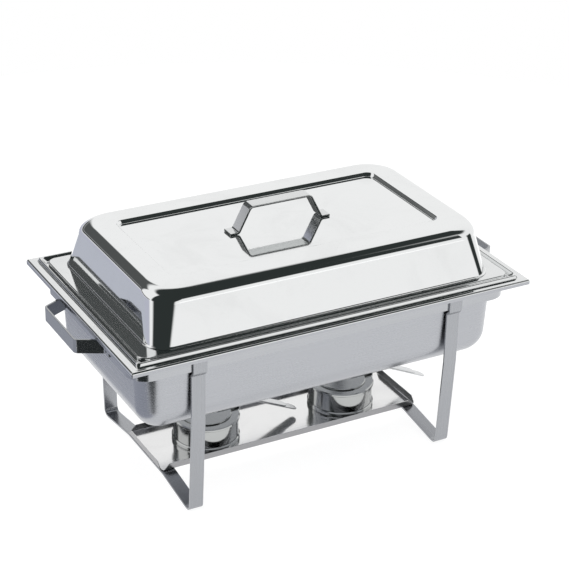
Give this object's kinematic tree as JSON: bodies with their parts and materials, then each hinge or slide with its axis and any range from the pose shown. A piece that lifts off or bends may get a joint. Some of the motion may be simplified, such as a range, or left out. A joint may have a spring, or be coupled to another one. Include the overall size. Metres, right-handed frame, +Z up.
{
  "type": "chafing dish food warmer",
  "caption": "Rectangular stainless steel food warmer: a strip frame with a burner shelf carries a water pan, a food pan and a domed lid with bent strip handles over spirit burners.",
  "frame": {"origin": "centre of the footprint, on the surface that the feet stand on", "axes": "+X along the length, towards the right-hand handle; -Y towards the serving side; +Z up"},
  "size_m": [0.6486, 0.366, 0.3633],
  "materials": {
    "frame_band": "satin",
    "end_frame_left": "satin",
    "end_frame_right": "satin",
    "shelf_tray": "bright polished",
    "side_handle_left": "satin",
    "side_handle_right": "satin",
    "water_pan": "satin body, polished rim",
    "food_pan": "satin",
    "lid_shell": "mirror polished",
    "lid_handle": "polished",
    "burner_left_foot": "polished",
    "burner_left_wall": "polished",
    "burner_left_deck": "polished",
    "burner_left_fuel_cup": "satin",
    "burner_left_holder_handle": "satin",
    "burner_left_cover": "polished",
    "burner_left_cover_handle": "satin",
    "burner_left_pivot": "satin",
    "burner_right_foot": "polished",
    "burner_right_wall": "polished",
    "burner_right_deck": "polished",
    "burner_right_fuel_cup": "satin",
    "burner_right_holder_handle": "satin",
    "burner_right_cover": "polished",
    "burner_right_cover_handle": "satin",
    "burner_right_pivot": "satin"
  },
  "bodies": {
    "frame": {"frame_band": "frame_band", "end_frame_left": "end_frame_left", "end_frame_right": "end_frame_right", "shelf_tray": "shelf_tray", "side_handle_left": "side_handle_left", "side_handle_right": "side_handle_right"},
    "water_pan": {"water_pan": "water_pan"},
    "food_pan": {"food_pan": "food_pan"},
    "lid": {"lid_shell": "lid_shell", "lid_handle": "lid_handle"},
    "burner_left": {"burner_left_foot": "burner_left_foot", "burner_left_wall": "burner_left_wall", "burner_left_deck": "burner_left_deck", "burner_left_fuel_cup": "burner_left_fuel_cup", "burner_left_holder_handle": "burner_left_holder_handle"},
    "burner_left_cover": {"burner_left_cover": "burner_left_cover", "burner_left_cover_handle": "burner_left_cover_handle", "burner_left_pivot": "burner_left_pivot"},
    "burner_right": {"burner_right_foot": "burner_right_foot", "burner_right_wall": "burner_right_wall", "burner_right_deck": "burner_right_deck", "burner_right_fuel_cup": "burner_right_fuel_cup", "burner_right_holder_handle": "burner_right_holder_handle"},
    "burner_right_cover": {"burner_right_cover": "burner_right_cover", "burner_right_cover_handle": "burner_right_cover_handle", "burner_right_pivot": "burner_right_pivot"}
  },
  "joints": [
    {"name": "water_pan_lift", "type": "slide", "parent": "frame", "child": "water_pan", "axis": [0, 0, 1], "range_m": [0, 0.16]},
    {"name": "food_pan_lift", "type": "slide", "parent": "water_pan", "child": "food_pan", "axis": [0, 0, 1], "range_m": [0, 0.1]},
    {"name": "lid_lift", "type": "slide", "parent": "food_pan", "child": "lid", "axis": [0, 0, 1], "range_m": [0, 0.15]},
    {"name": "burner_left_lift", "type": "slide", "parent": "frame", "child": "burner_left", "axis": [0, 0, 1], "range_m": [0, 0.06]},
    {"name": "burner_left_cover_swivel", "type": "hinge", "parent": "burner_left", "child": "burner_left_cover", "pos_m": [-0.068, 0, 0.053], "axis": [0, 0, 1], "range_deg": [-70, 70]},
    {"name": "burner_right_lift", "type": "slide", "parent": "frame", "child": "burner_right", "axis": [0, 0, 1], "range_m": [0, 0.06]},
    {"name": "burner_right_cover_swivel", "type": "hinge", "parent": "burner_right", "child": "burner_right_cover", "pos_m": [0.152, 0, 0.053], "axis": [0, 0, 1], "range_deg": [-70, 70]}
  ]
}
